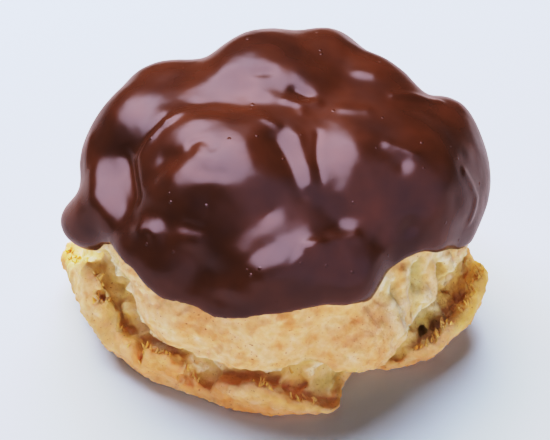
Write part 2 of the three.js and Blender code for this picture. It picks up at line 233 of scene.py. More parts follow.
def wander(tree, start, chance, stations, step):
    """A line that wanders over the skin from a start, all in millimetres."""
    spot, facing = tree.find_nearest(Vector(start) * MM)[:2]
    heading = any_direction(chance)
    line = [tuple(spot / MM)]
    for _ in range(stations):
        heading += WANDER_TURN * any_direction(chance)
        heading -= facing * heading.dot(facing)
        heading.normalize()
        spot, facing = tree.find_nearest(spot + heading * step * MM)[:2]
        line.append(tuple(spot / MM))
    return line


def scattered(tree, starts, chance, count, half_width, height, stations, step=STATION_STEP):
    """Strokes that wander over the skin from places picked at random."""
    strokes = []
    for _ in range(count):
        line = wander(tree, chance.choice(starts), chance, chance.randint(1, stations), step)
        own_width = half_width * chance.uniform(*SCATTER_WIDTHS)
        own_height = height * chance.uniform(*SCATTER_HEIGHTS)
        strokes.append((line, own_width, own_height))
    return strokes


def smoothstep(start, end, values):
    """0 up to the start, 1 past the end and a soft ramp between; the end may be the lower of the two."""
    share = np.clip((values - start) / (end - start), 0, 1)
    return share * share * (3 - 2 * share)


def keep_attribute(piece, name, values):
    """Stores one number a vertex, for the materials."""
    attribute = piece.data.attributes.get(name) or piece.data.attributes.new(name, "FLOAT", "POINT")
    attribute.data.foreach_set("value", values.astype(np.float32))


def keep_group(piece, name, weights):
    """Stores one weight a vertex, for the modifiers."""
    group = piece.vertex_groups.new(name=name)
    level = np.rint(np.clip(weights, 0, 1) * GROUP_STEPS).astype(int)
    for step in range(1, GROUP_STEPS + 1):
        group.add(np.flatnonzero(level == step).tolist(), step / GROUP_STEPS, "REPLACE")


def texture(name, kind, size, **settings):
    """A procedural relief whose features are about this many millimetres across."""
    made = bpy.data.textures.new(name, kind)
    made.noise_scale = size * MM
    for key, value in settings.items():
        setattr(made, key, value)
    return made


def relief(piece, pattern, height, group=""):
    """Raises and sinks the skin by the pattern, this many millimetres from top to bottom."""
    apply_modifier(
        piece, "DISPLACE", texture=pattern, texture_coords="LOCAL", strength=height * MM,
        mid_level=0.5, vertex_group=group,
    )


def smooth(piece, rounds):
    """Evens the skin out, this many times."""
    apply_modifier(piece, "SMOOTH", factor=0.5, iterations=rounds)


def merged_copy(node, name):
    """A new piece with the node's form, its loose triangles joined into one skin, mostly of quads."""
    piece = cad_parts[node].copy()
    piece.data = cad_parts[node].data.copy()
    for key in list(piece.keys()):
        del piece[key]
    piece.parent = None
    piece.name = name
    piece.data.name = name
    piece.data.materials.clear()
    bpy.context.scene.collection.objects.link(piece)
    only(piece)
    bpy.ops.object.mode_set(mode="EDIT")
    bpy.ops.mesh.select_all(action="SELECT")
    bpy.ops.mesh.remove_doubles(threshold=DOUBLE_GAP * MM)
    bpy.ops.mesh.tris_convert_to_quads(face_threshold=QUAD_LIMIT, shape_threshold=QUAD_LIMIT)
    bpy.ops.object.mode_set(mode="OBJECT")
    return piece


# ---------------------------------------------------------------- materials

# Colours of the dough and the icing along their patterns, from dark to light: place and colour.
SKIN_COLOURS = [(0.3, "#eca468"), (0.45, "#f4b882"), (0.6, "#f6c392"), (0.75, "#f8d0a8")]
# The crumb's colours follow its relief: lighter on its ridges and darker in its pits, which is painted shade.
CRUMB_COLOURS_WITH_PIT_SHADE = [(0.2, "#dfbe80"), (0.45, "#e6c48c"), (0.65, "#eccb9e"), (0.85, "#f2dbba")]
BROWNED_COLOURS = [(0.3, "#e4ae50"), (0.5, "#eebe6a"), (0.7, "#f5cf8e")]
ORANGE_COLOURS = [(0.3, "#e68a46"), (0.5, "#ee9c5a"), (0.7, "#f5b078")]
# The pale dough's own colour, also darker in the pits of the relief as painted shade.
PALE_COLOURS_WITH_PIT_SHADE = [(0.3, "#dab274"), (0.5, "#eecb92"), (0.7, "#f7e0be")]
OLIVE_COLOURS = [(0.3, "#a8924e"), (0.7, "#cdb878")]
SHRED_COLOURS = [(0.3, "#cd8e3a"), (0.5, "#dfa75a"), (0.7, "#eac084")]
ICING_COLOURS = [(0.3, "#402012"), (0.5, "#4a2614"), (0.7, "#542c18")]

# Patterns that darken the crust, drawn as multipliers: the oven's toasting, buttery spots, and painted shade
# in the pores, which have no relief of their own.
TOASTED_COLOURS = [(0.35, "#ffffff"), (0.62, "#f6e6c8"), (0.75, "#dec196")]
BUTTER_COLOURS = [(0.46, "#ffffff"), (0.7, "#e2d8b4")]
PORE_SHADE_COLOURS = [(0.22, "#a87c58"), (0.32, "#ffffff")]
TOASTED_SHARE = 0.5
BUTTER_SHARE = 0.5
PORE_SHADE_SHARE = 0.7

# Widths of the patterns' patches, in millimetres.
CLOUD_SIZE = 4.5
MOTTLE_SIZE = 1.5
BUTTER_SIZE = 1.7
PORE_SIZE = 0.55            # real pores are finer still, and would not show
GRAIN_SIZE = 0.6
SHRED_SIZE = 2.2
ICING_DRIFT_SIZE = 9
FILM_RIPPLE_SIZE = 2.4
PINPRICK_SPACING = 4.5
PINPRICK_EDGE = 0.09        # a pinprick's radius, as a share of that spacing

# Red light goes deepest into dough and blue light least.
DOUGH_GLOW = (1.0, 0.8, 0.35)

# The sockets that a Mix node uses for colours.
MIX_FACTOR = 0
MIX_FIRST = 6
MIX_SECOND = 7
MIX_RESULT = 2


def add_node(tree, kind, links=None, **settings):
    """Adds a node; links gives each input a value or the output socket that feeds it."""
    node = tree.nodes.new(kind)
    for name, value in settings.items():
        setattr(node, name, value)
    for key, value in (links or {}).items():
        if isinstance(value, bpy.types.NodeSocket):
            tree.links.new(value, node.inputs[key])
        else:
            node.inputs[key].default_value = value
    return node


def new_material(name, finish):
    """A material with this finish on its shader: the material, its tree and its shader."""
    material = bpy.data.materials.new(name)
    material.use_nodes = True
    tree = material.node_tree
    shader = tree.nodes["Principled BSDF"]
    for setting, value in finish.items():
        shader.inputs[setting].default_value = value
    return material, tree, shader


def colour_ramp(tree, factor, stops):
    """The pattern's colours, from stops that each have a place and a colour."""
    ramp = add_node(tree, "ShaderNodeValToRGB", {"Fac": factor})
    elements = ramp.color_ramp.elements
    while len(elements) < len(stops):
        elements.new(0.5)
    for element, (spot, colour) in zip(elements, stops):
        element.position = spot
        element.color = linear(colour)
    return ramp.outputs["Color"]


def mixed(tree, factor, first, second, blend="MIX"):
    """Two colours mixed by a factor."""
    links = {MIX_FACTOR: factor, MIX_FIRST: first, MIX_SECOND: second}
    node = add_node(tree, "ShaderNodeMix", links, data_type="RGBA", blend_type=blend)
    return node.outputs[MIX_RESULT]


def per_mm(size):
    """The scale that makes a pattern's features this many millimetres wide on Object coordinates."""
    return 1 / (size * MM)


def attribute(tree, name):
    """A number that the piece keeps for each vertex."""
    return add_node(tree, "ShaderNodeAttribute", attribute_name=name).outputs["Fac"]


def noise(tree, place_in_bun, size, detail=3):
    """A cloudy pattern whose patches are about this many millimetres wide."""
    links = {"Vector": place_in_bun, "Scale": per_mm(size), "Detail": detail}
    return add_node(tree, "ShaderNodeTexNoise", links).outputs["Fac"]


def baked_choux_crust():
    """Oven-baked choux: matt tan skin, mottled, golden where it tore, browned on its rims; pores and pits are
    painted shade.
    """
    material, tree, shader = new_material("baked choux crust", {
        "Roughness": 0.6,
        "Specular IOR Level": 0.4,
        "Subsurface Weight": 0.45,
        "Subsurface Radius": DOUGH_GLOW,
        "Subsurface Scale": 2.0 * MM,
    })
    place_in_bun = add_node(tree, "ShaderNodeTexCoord").outputs["Object"]
    cloud = noise(tree, place_in_bun, CLOUD_SIZE)
    mottle = noise(tree, place_in_bun, MOTTLE_SIZE, detail=4)
    # How far each spot of crust stands out; the crumb and pale colours darken its pits as painted shade.
    raised = attribute(tree, "raised")
    colour = colour_ramp(tree, cloud, SKIN_COLOURS)
    for paint, pattern, colours in [
        ("torn", raised, CRUMB_COLOURS_WITH_PIT_SHADE),
        ("orange", mottle, ORANGE_COLOURS),
        ("browned", mottle, BROWNED_COLOURS),
        ("pale", raised, PALE_COLOURS_WITH_PIT_SHADE),
        ("olive", mottle, OLIVE_COLOURS),
    ]:
        colour = mixed(tree, attribute(tree, paint), colour, colour_ramp(tree, pattern, colours))
    butter = noise(tree, place_in_bun, BUTTER_SIZE)
    # dark specks for the pores: painted shade in holes that the skin's relief leaves out
    pore_shade = noise(tree, place_in_bun, PORE_SIZE, detail=1)
    for share, pattern, colours in [
        (TOASTED_SHARE, mottle, TOASTED_COLOURS),
        (BUTTER_SHARE, butter, BUTTER_COLOURS),
        (PORE_SHADE_SHARE, pore_shade, PORE_SHADE_COLOURS),
    ]:
        colour = mixed(tree, share, colour, colour_ramp(tree, pattern, colours), "MULTIPLY")
    tree.links.new(colour, shader.inputs["Base Color"])
    grain = noise(tree, place_in_bun, GRAIN_SIZE, detail=4)
    bump = add_node(tree, "ShaderNodeBump", {"Height": grain, "Strength": 0.6, "Distance": 0.35 * MM})
    tree.links.new(bump.outputs["Normal"], shader.inputs["Normal"])
    return material


def torn_dough():
    """Thin torn shreds of baked dough: golden, matt, lit through at their edges."""
    material, tree, shader = new_material("torn choux dough", {
        "Roughness": 0.6,
        "Subsurface Weight": 0.4,
        "Subsurface Radius": DOUGH_GLOW,
        "Subsurface Scale": 1.0 * MM,
    })
    place_in_bun = add_node(tree, "ShaderNodeTexCoord").outputs["Object"]
    shade = noise(tree, place_in_bun, SHRED_SIZE)
    tree.links.new(colour_ramp(tree, shade, SHRED_COLOURS), shader.inputs["Base Color"])
    return material


def poured_chocolate_icing():
    """Poured chocolate and butter icing, set glossy: dark brown, faintly rippled, with pinprick bubbles."""
    material, tree, shader = new_material("poured chocolate icing", {
        "Roughness": 0.23,
        "IOR": 1.5,
        "Specular Tint": linear("#fff0fa"),
    })
    place_in_bun = add_node(tree, "ShaderNodeTexCoord").outputs["Object"]
    drift = noise(tree, place_in_bun, ICING_DRIFT_SIZE, detail=2)
    tree.links.new(colour_ramp(tree, drift, ICING_COLOURS), shader.inputs["Base Color"])
    ripple = noise(tree, place_in_bun, FILM_RIPPLE_SIZE, detail=2)
    film = add_node(tree, "ShaderNodeBump", {"Height": ripple, "Strength": 0.2, "Distance": 0.08 * MM})
    links = {"Vector": place_in_bun, "Scale": per_mm(PINPRICK_SPACING)}
    cells = add_node(tree, "ShaderNodeTexVoronoi", links)
    bubble = add_node(tree, "ShaderNodeMapRange", {
        "Value": cells.outputs["Distance"],
        "From Max": PINPRICK_EDGE,
        "To Min": 1,
        "To Max": 0,
    })
    pinpricks = add_node(tree, "ShaderNodeBump", {
        "Height": bubble.outputs["Result"],
        "Strength": 0.7,
        "Distance": 0.2 * MM,
        "Normal": film.outputs["Normal"],
    })
    tree.links.new(pinpricks.outputs["Normal"], shader.inputs["Normal"])
    return material


def studio_floor():
    """A plain pale studio table, painted matt: hardly any gloss."""
    return new_material("matt studio board", {
        "Base Color": linear("#d6e4fa"),
        "Roughness": 0.9,
        "Specular IOR Level": 0.1,
    })[0]


# ---------------------------------------------------------------- the pastry


def burst_bubble(centre, radii):
    """One rough-walled hollow, as a solid to cut with."""
    bpy.ops.object.select_all(action="DESELECT")
    bpy.ops.mesh.primitive_ico_sphere_add(
        subdivisions=3, radius=MM, location=Vector(centre) * MM, scale=radii
    )
    bpy.ops.object.transform_apply(location=True, rotation=True, scale=True)
    bubble = bpy.context.object
    relief(bubble, texture("bubble wall", "CLOUDS", BUBBLE_WALL_SIZE), BUBBLE_WALL_HEIGHT)
    return bubble


def cut(piece, cutter):
    """Takes the cutter's shape out of the piece and removes the cutter."""
    apply_modifier(piece, "BOOLEAN", object=cutter, operation="DIFFERENCE", solver="EXACT")
    bpy.data.objects.remove(cutter)


def hull_depth(piece):
    """How far each vertex lies inside the piece's convex hull, in millimetres."""
    points = positions(piece)
    hull = piece.copy()
    hull.data = piece.data.copy()
    bpy.context.scene.collection.objects.link(hull)
    only(hull)
    bpy.ops.object.mode_set(mode="EDIT")
    bpy.ops.mesh.select_all(action="SELECT")
    bpy.ops.mesh.convex_hull()
    bpy.ops.object.mode_set(mode="OBJECT")
    tree = BVHTree.FromObject(hull, bpy.context.evaluated_depsgraph_get())
    depth = [tree.find_nearest(Vector(point) * MM)[3] / MM for point in points]
    bpy.data.objects.remove(hull)
    return np.array(depth)


# Paint on the crust: the line of each stroke, its half width and its strength.
PALE_PAINT = [
    ([(22, -27, 27), (23, -27, 22), (25, -27, 16)], 2.6, 1.0),
    ([(-12, -36, 5), (0, -37, 5), (10, -36, 3)], 3.0, 0.4),
    ([(27, -22, 26), (28, -21, 20), (29.5, -20, 16)], 3.4, 1.0),
    ([(33, -16, 25), (34, -14, 19), (33.5, -15, 14)], 3.2, 0.9),
    ([(-29.9, -22.7, 28.5)], 1.6, 0.8),
    ([(-30, -16.4, 12.0), (-27.5, -18.4, 8.0)], 2.6, 0.35),
    ([(-37, -4, 15), (-33, -13, 14)], 3.0, 0.5),
]
ORANGE_PAINT = [
    ([(-19, -35, 5), (-6, -36, 4), (6, -36, 3)], 5.0, 0.8),
    ([(-28, -24, 6), (-24, -29, 7), (-20, -33, 6)], 3.0, 0.6),
    ([(-44, 1, 10), (-44, 5, 9)], 2.4, 0.9),
    ([(43, -8, 10), (41, -14, 8)], 2.0, 0.4),
    ([(-24, -22, 24), (-20, -27, 22)], 3.0, 0.35),
    ([(-40, 16, 6), (-24, 34, 6), (0, 40, 6), (24, 34, 6), (41, 14, 6)], 6.0, 0.85),
    ([(-36, 14, 20), (-20, 30, 21), (0, 35, 21), (20, 30, 21), (37, 12, 20)], 5.0, 0.7),
]
BROWNED_PAINT = [
    ([(-31, -16, 13), (-28.5, -18, 8), (-25, -22, 6)], 3.0, 0.6),
    ([(-35, -9, 16), (-34, -14, 12), (-31, -19, 7)], 2.4, 0.6),
    ([(43, -5, 13.5), (41, -12, 11), (38.5, -18, 8.5)], 3.0, 1.0),
    ([(39, -6, 12), (37.5, -12, 8)], 2.4, 0.7),
    ([(15.5, -34.4, 10.2)], 1.3, 0.9),
    ([(-38, 12, 12), (-22, 29, 13), (0, 34, 13), (22, 29, 13), (39, 10, 12)], 3.0, 0.7),
    ([(-24, -31, 8), (-26, -31, 5)], 3.0, 0.5),
    ([(-12, -38, 8), (0, -40, 8), (10, -39, 4)], 2.2, 0.6),
]
OLIVE_PAINT = [
    ([(28, -21, 26), (28.4, -21, 21)], 1.6, 0.9),
    ([(23.2, -26, 24.4), (23.4, -26, 22.4)], 1.0, 0.8),
    ([(33, -15.6, 21.6), (33.2, -15.4, 18.4)], 1.3, 0.7),
    ([(30, -18, 11), (31, -17, 9)], 3.0, 0.7),
    ([(-31.4, -15, 14.5), (-31.4, -15.6, 10.5)], 2.4, 0.25),
    ([(9, -32, 5), (13, -30, 4)], 2.4, 0.6),
    ([(-43, -2, 11), (-41, -12, 9), (-36, -20, 7)], 3.6, 0.4),
    ([(-38, -12, 19), (-40, -6, 20)], 3.0, 0.5),
    ([(-41, -3, 12)], 3.0, 0.4),
]

CRUST_PAINTS = {
    "orange": ORANGE_PAINT,
    "browned": BROWNED_PAINT,
    "pale": PALE_PAINT,
    "olive": OLIVE_PAINT,
}


def painted(points, strokes):
    """A soft mask along the strokes of one paint."""
    mask = sum(strength * nearness(points, line, width) for line, width, strength in strokes)
    return np.clip(mask, 0, 1)


def burst_crust():
    """The pastry in fine faces, with its burst bubbles cut and its folds raised and sunk."""
    crust = merged_copy("choux_pastry", "choux_crust")
    for centre, radii in BURST_BUBBLES:
        cut(crust, burst_bubble(centre, radii))
    apply_modifier(crust, "REMESH", mode="VOXEL", voxel_size=CRUST_GRAIN * MM)
    smooth(crust, 2)
    sculpt(crust, CRUST_FOLDS)
    return crust


def torn_share(points, facing, depth):
    """How much of each spot is torn crumb: it lies deep inside the hull, or faces inwards."""
    outward = points - np.array(CRUST_MIDDLE)
    outward /= np.linalg.norm(outward, axis=1)[:, None]
    inward_face = smoothstep(LOOKS_OUTWARDS, LOOKS_INWARDS, np.sum(facing * outward, axis=1))
    return np.clip(smoothstep(HULL_NEAR, HULL_DEEP, depth) + inward_face, 0, 1)


def roughen_crust(crust, points, torn):
    """Fibres and pits in the torn crumb, wrinkles and blisters in the baked skin, and the grain of both."""
    height = points[:, 2]
    tree = skin_tree(crust)
    crumb_spots = points[torn > MOSTLY_TORN].tolist()
    skin_spots = points[(torn < HARDLY_TORN) & (height > SKIN_LOW) & (height < SKIN_HIGH)].tolist()
    strokes = scattered(tree, crumb_spots, CRUST_CHANCE, *FIBRES)
    strokes += scattered(tree, crumb_spots, CRUST_CHANCE, *PITS)
    strokes += scattered(tree, skin_spots, CRUST_CHANCE, *WRINKLES)
    strokes += scattered(tree, skin_spots, CRUST_CHANCE, *BLISTERS)
    sculpt(crust, strokes)
    for name, kind, size, rise, side, settings in CRUST_RELIEF:
        relief(crust, texture(name, kind, size, **settings), rise, side)


def choux_crust():
    """The whole pastry: crust, torn shell and crumb in one skin."""
    crust = burst_crust()
    points = positions(crust)
    facing = normals(crust)
    foot = smoothstep(FOOT_TOP, FOOT_SOLE, points[:, 2])
    torn = torn_share(points, facing, hull_depth(crust)) * (1 - foot)
    keep_group(crust, "crumb side", torn)
    keep_group(crust, "skin side", (1 - torn) * (1 - foot))
    roughen_crust(crust, points, torn)
    # How far each spot was raised or sunk, which the crust's colours turn into painted shade in the pits.
    raised = np.sum((positions(crust) - points) * facing, axis=1)
    keep_attribute(crust, "raised", np.clip(0.5 + raised / RAISED_SPAN, 0, 1))
    keep_attribute(crust, "torn", torn)
    for name, strokes in CRUST_PAINTS.items():
        keep_attribute(crust, name, painted(points, strokes))
    keep_inside(crust)
    only(crust)
    bpy.ops.object.shade_smooth()
    crust.data.materials.append(baked_choux_crust())
    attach(crust, "root")
    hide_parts("choux_pastry")
    return crust


# ---------------------------------------------------------------- torn dough on the rims

FRINGE_CHANCE = random.Random(11)   # seeds the teeth and then the flakes
SCAN_TOP = 30               # the rim is looked for below this height
SCAN_OUTER = 47             # from this radius
SCAN_INNER = 27             # to this one
SCAN_STEP = 0.35
RIM_LOW = 2                 # torn rims lie between these heights
RIM_HIGH = 21
RIM_DROP = 0.6              # the ground falls at least this much behind a rim
RIM_STEP = 3.5              # or steps up this much, to the dough that overhangs it

TOOTH_SIDES = 6
TOOTH_ROOT = 0.42           # radius of a tooth at its root
TOOTH_TIP = 0.08            # and at its tip
TOOTH_CUTS = 2
TOOTH_BEND = 0.25           # how far the tip of a tooth 1 mm long leans over
TOOTH_FLATNESS = 0.5        # thickness as a share of width
TOOTH_GRAIN_SIZE = 0.5
TOOTH_GRAIN_HEIGHT = 0.3
TOOTH_SINK = 0.3            # the root is this deep in the crust
TOOTH_INSET = (0, 0.9)      # how far inside the rim it stands
TOOTH_DROP = 1.5            # and how far above or below the rim at most
TOOTH_LEAN = (-0.3, 0.7)    # how far it leans inwards for each millimetre that it rises
TOOTH_SWAY = 0.3            # how far it strays from that lean, either way
TOOTH_WIDTHS = (0.7, 1.5)   # least and most, as are the pairs below
TOOTH_LENGTHS = (0.9, 2.1)

LOOSE_BUNCHES = 46
LOOSE_SPREAD = 1.2          # in degrees
LOOSE_TEETH = (2, 5)

FLAKE_COUNT = 34
FLAKE_GRID = (6, 4)         # faces across and along a flake
FLAKE_SIZE = 2
FLAKE_TAPER = 0.25          # the far end is this share narrower
FLAKE_ASPECT = 0.6          # length as a share of width
FLAKE_CURL_ALONG = 0.25
FLAKE_CURL_ACROSS = -0.3
FLAKE_THICKNESS = 0.32
FLAKE_GRAIN_SIZE = 0.7
FLAKE_GRAIN_HEIGHT = 0.35
FLAKE_INSET = (0.8, 3.4)    # how far inside the rim it lies
FLAKE_LOW = 1.5             # a flake lies above this height
FLAKE_CLIMB = 0.5           # and at most this far above the rim
FLAKE_LEAN = (-0.2, 0.8)    # the slope that its upper face is tipped outwards by
FLAKE_WIDTHS = (0.3, 0.8)   # shares of the width of the modelled flake
FLAKE_LENGTHS = (0.6, 1.4)  # of its length
FLAKE_HEIGHTS = (0.6, 1.2)  # and of its curl and thickness
FLAKE_TWIST = 0.5           # how far its turn strays from the rim's own line, in radians

# Where the rim tore into teeth: azimuth and spread in degrees, how many, and the height to scan from.
TOOTHED_RIMS = [
    (-134, 3, 16, 11), (-127, 4, 14, 11), (-118, 3, 8, 11), (-93, 3, 16, 11), (-82, 4, 14, 9),
    (-158, 6, 16, SCAN_TOP), (-12, 8, 22, SCAN_TOP), (-30, 6, 14, SCAN_TOP),
]


def ground(tree, azimuth, radius, top=SCAN_TOP):
    """The pastry's skin straight below a place round the bun."""
    above = Vector((radius * math.cos(azimuth), radius * math.sin(azimuth), top)) * MM
    hit = tree.ray_cast(above, Vector((0, 0, -1)))[0]
    return hit / MM if hit else None


def rim_point(tree, azimuth, top=SCAN_TOP):
    """The highest point of the burst crust's outer edge at this azimuth, or nothing where there is none."""
    best = None
    radius = SCAN_OUTER
    while radius > SCAN_INNER:
        spot = ground(tree, azimuth, radius, top)
        if best and spot and not best.z - RIM_DROP < spot.z < best.z + RIM_STEP:
            break
        if spot and (best is None or spot.z > best.z):
            best = spot
        radius -= SCAN_STEP
    return best


def small_mesh(name, make):
    """Models one small piece and gives its mesh."""
    bpy.ops.object.select_all(action="DESELECT")
    make()
    piece = bpy.context.object
    piece.name = name
    bpy.ops.object.transform_apply(location=True, rotation=True, scale=True)
    mesh = piece.data.copy()
    bpy.data.objects.remove(piece)
    return mesh


def tooth():
    """One torn tooth of crust, 1 mm long: a bent flat wedge with a soft tip, rooted at the origin."""
    bpy.ops.mesh.primitive_cone_add(
        vertices=TOOTH_SIDES, radius1=TOOTH_ROOT * MM, radius2=TOOTH_TIP * MM,
        depth=MM, location=(0, 0, MM / 2),
    )
    bpy.ops.object.mode_set(mode="EDIT")
    bpy.ops.mesh.select_all(action="SELECT")
    bpy.ops.mesh.subdivide(number_cuts=TOOTH_CUTS)
    bpy.ops.object.mode_set(mode="OBJECT")
    piece = bpy.context.object
    for vertex in piece.data.vertices:
        up = vertex.co.z / MM
        vertex.co.x += TOOTH_BEND * MM * up * up
        vertex.co.y *= TOOTH_FLATNESS
    relief(piece, texture("tooth grain", "CLOUDS", TOOTH_GRAIN_SIZE), TOOTH_GRAIN_HEIGHT)


def flake():
    """One curled flake of torn crust, 2 mm wide, lying level with its middle at the origin."""
    faces_across, faces_along = FLAKE_GRID
    bpy.ops.mesh.primitive_grid_add(
        x_subdivisions=faces_across, y_subdivisions=faces_along, size=FLAKE_SIZE * MM, location=(0, 0, 0)
    )
    piece = bpy.context.object
    for vertex in piece.data.vertices:
        across = vertex.co.x / MM
        along = vertex.co.y / MM
        vertex.co.x *= 1 - FLAKE_TAPER * max(along, 0)
        vertex.co.y *= FLAKE_ASPECT
        vertex.co.z = MM * (FLAKE_CURL_ALONG * along * along + FLAKE_CURL_ACROSS * across * across)
    apply_modifier(piece, "SOLIDIFY", thickness=FLAKE_THICKNESS * MM, offset=0)
    apply_modifier(piece, "SUBSURF", levels=1, render_levels=1)
    relief(piece, texture("flake grain", "CLOUDS", FLAKE_GRAIN_SIZE), FLAKE_GRAIN_HEIGHT)


def joined(name, meshes):
    """One piece from many placed meshes."""
    bpy.ops.object.select_all(action="DESELECT")
    pieces = [bpy.data.objects.new(name, mesh) for mesh in meshes]
    for piece in pieces:
        bpy.context.scene.collection.objects.link(piece)
        piece.select_set(True)
    bpy.context.view_layer.objects.active = pieces[0]
    bpy.ops.object.join()
    whole = bpy.context.object
    whole.name = name
    bpy.ops.object.shade_smooth()
    return whole


def placed(mesh, spot, up, turn, size):
    """A copy of the mesh at a place in millimetres, its top towards a direction and turned about it."""
    copy = mesh.copy()
    stand = up.normalized().to_track_quat("Z", "Y").to_matrix().to_4x4()
    copy.transform(
        Matrix.Translation(spot * MM) @ stand @ Matrix.Rotation(turn, 4, "Z") @ Matrix.Diagonal((*size, 1))
    )
    return copy


def outwards(azimuth):
    """The level direction away from the bun's middle at this azimuth."""
    return Vector((math.cos(azimuth), math.sin(azimuth), 0))


def loose_bunches(chance):
    """Small bunches of teeth at any azimuth, in the same four values as the toothed rims."""
    bunches = []
    for _ in range(LOOSE_BUNCHES):
        azimuth = chance.uniform(-180, 180)
        bunches.append((azimuth, LOOSE_SPREAD, chance.randint(*LOOSE_TEETH), SCAN_TOP))
    return bunches


def torn_fringe(tree, chance):
    """Teeth of torn crust along the rims, in bunches."""
    mesh = small_mesh("tooth", tooth)
    teeth = []
    for middle, spread, count, top in TOOTHED_RIMS + loose_bunches(chance):
        for _ in range(count):
            azimuth = math.radians(middle + chance.gauss(0, spread / 2))
            rim = rim_point(tree, azimuth, top)
            if rim is None or not RIM_LOW < rim.z < RIM_HIGH:
                continue
            root = ground(tree, azimuth, math.hypot(rim.x, rim.y) - chance.uniform(*TOOTH_INSET), top)
            if root is None or abs(root.z - rim.z) > TOOTH_DROP:
                continue
            up = Vector((0, 0, 1)) - outwards(azimuth) * chance.uniform(*TOOTH_LEAN)
            up += Vector((chance.gauss(0, TOOTH_SWAY), chance.gauss(0, TOOTH_SWAY), 0))
            width = chance.uniform(*TOOTH_WIDTHS)
            size = (width, width, chance.uniform(*TOOTH_LENGTHS))
            root.z -= TOOTH_SINK
            teeth.append(placed(mesh, root, up, chance.uniform(0, math.tau), size))
    fringe = joined("torn_fringe", teeth)
    keep_inside(fringe)
    fringe.data.materials.append(torn_dough())
    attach(fringe, "root")


def torn_flakes(tree, chance):
    """Curled flakes that lie along the inside of the rims and in the crevice."""
    mesh = small_mesh("flake", flake)
    flakes = []
    while len(flakes) < FLAKE_COUNT:
        azimuth = chance.uniform(-math.pi, math.pi)
        rim = rim_point(tree, azimuth)
        if rim is None or not RIM_LOW < rim.z < RIM_HIGH:
            continue
        root = ground(tree, azimuth, math.hypot(rim.x, rim.y) - chance.uniform(*FLAKE_INSET))
        if root is None or not FLAKE_LOW < root.z < rim.z + FLAKE_CLIMB:
            continue
        up = Vector((0, 0, 1)) + outwards(azimuth) * chance.uniform(*FLAKE_LEAN)
        size = [chance.uniform(*limits) for limits in (FLAKE_WIDTHS, FLAKE_LENGTHS, FLAKE_HEIGHTS)]
        flakes.append(placed(mesh, root, up, azimuth + chance.gauss(math.pi / 2, FLAKE_TWIST), size))
    whole = joined("torn_flakes", flakes)
    keep_inside(whole)
    whole.data.materials.append(torn_dough())
    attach(whole, "root")


# ---------------------------------------------------------------- the icing

GLAZE_GRAIN = 0.52          # edge of one face of the icing's fine skin
GLAZE_MIDDLE = (0, 0, 27)   # the icing's inner face looks towards this place
GLAZE_SINK = 0.45           # and sinks this far, so that it sits on the crust
GLAZE_CHANCE = random.Random(8)

# Soft swells and dips all over the icing: how many, their half width, their height, the most stations
# that one has and the step between them.
SWELLS = (60, 2.8, 0.12, 2, 3.0)
DIPS = (50, 2.4, -0.1, 2, 2.4)
BROAD_SWELL_SIZE = 8.0
BROAD_SWELL_HEIGHT = 0.4

